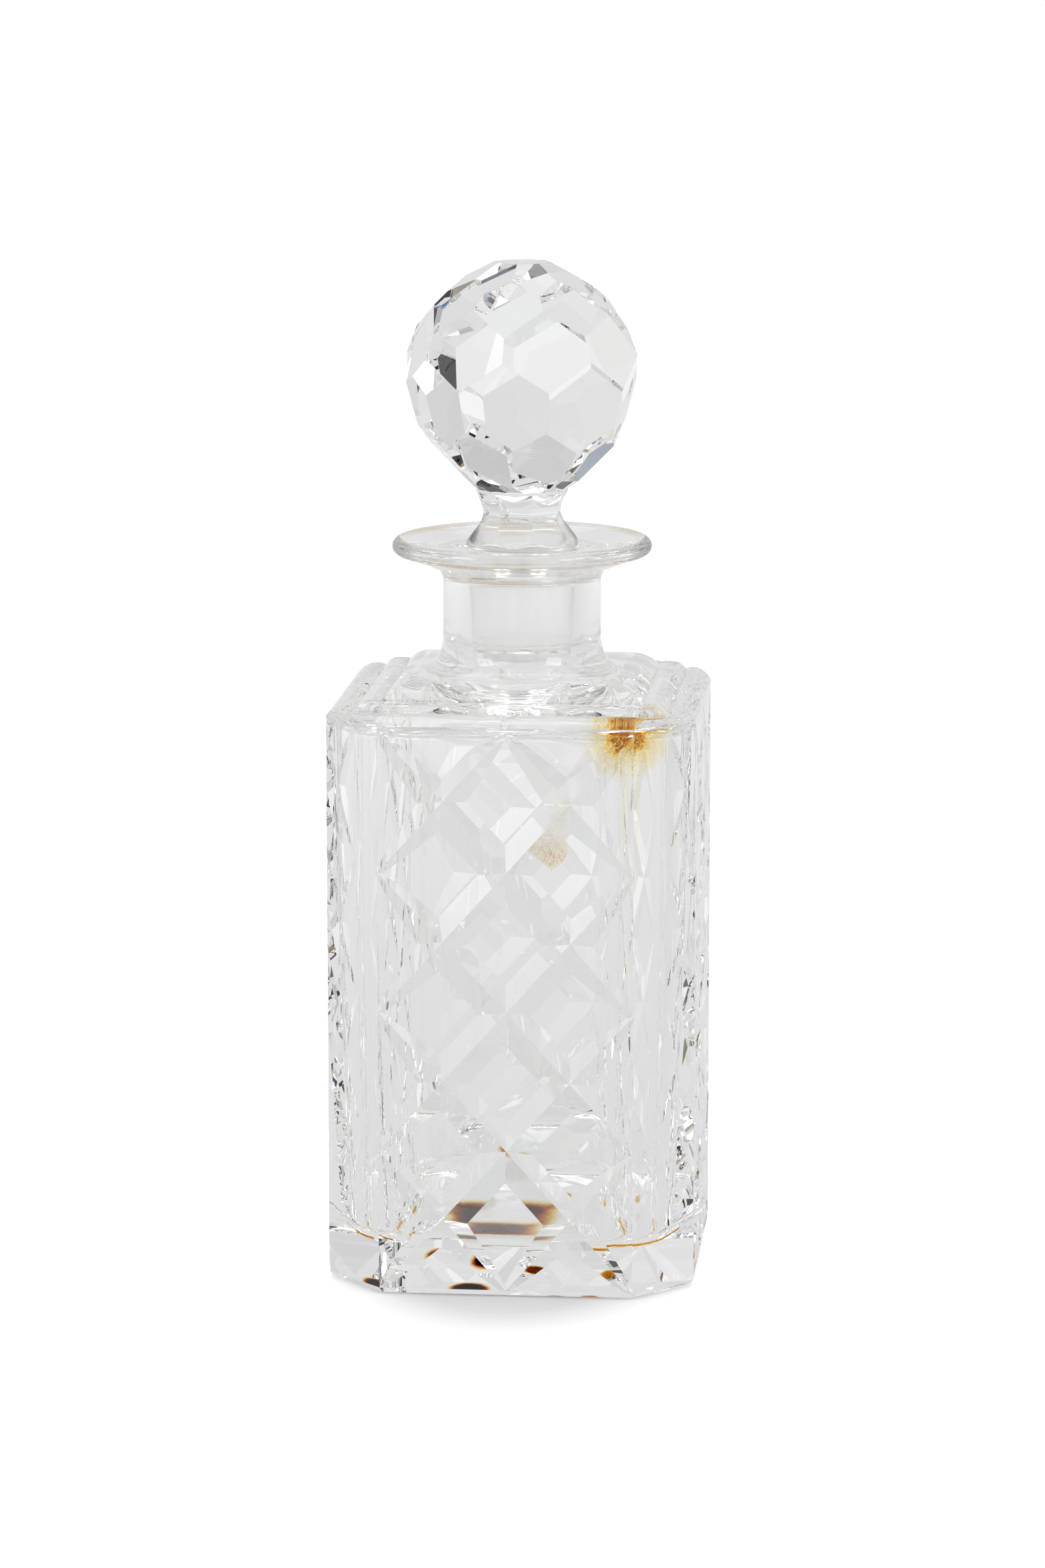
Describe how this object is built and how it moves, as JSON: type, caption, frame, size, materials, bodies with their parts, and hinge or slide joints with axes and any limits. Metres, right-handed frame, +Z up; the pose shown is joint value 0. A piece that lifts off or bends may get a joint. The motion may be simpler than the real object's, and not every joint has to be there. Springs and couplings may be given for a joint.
{
  "type": "square cut-glass decanter",
  "caption": "Square cut-crystal spirit decanter with diamond-lattice sides, a scalloped shoulder, a wide flat lip and a lift-out facet-cut ball stopper ground into its neck.",
  "frame": {"origin": "centre of the square foot, on the surface it stands on", "axes": "+Z up along the neck and stopper, -Y out of the front face, X across it"},
  "size_m": [0.09, 0.09, 0.2488],
  "materials": {
    "bottle_crystal": "polished clear crystal, ground matt inside the neck",
    "stopper_crystal": "polished clear crystal, ground matt on the plug"
  },
  "bodies": {
    "bottle": {"bottle": "bottle_crystal"},
    "stopper": {"stopper": "stopper_crystal"}
  },
  "joints": [
    {"name": "stopper_lift", "type": "slide", "parent": "bottle", "child": "stopper", "axis": [0, 0, 1], "range_m": [0, 0.045]}
  ]
}
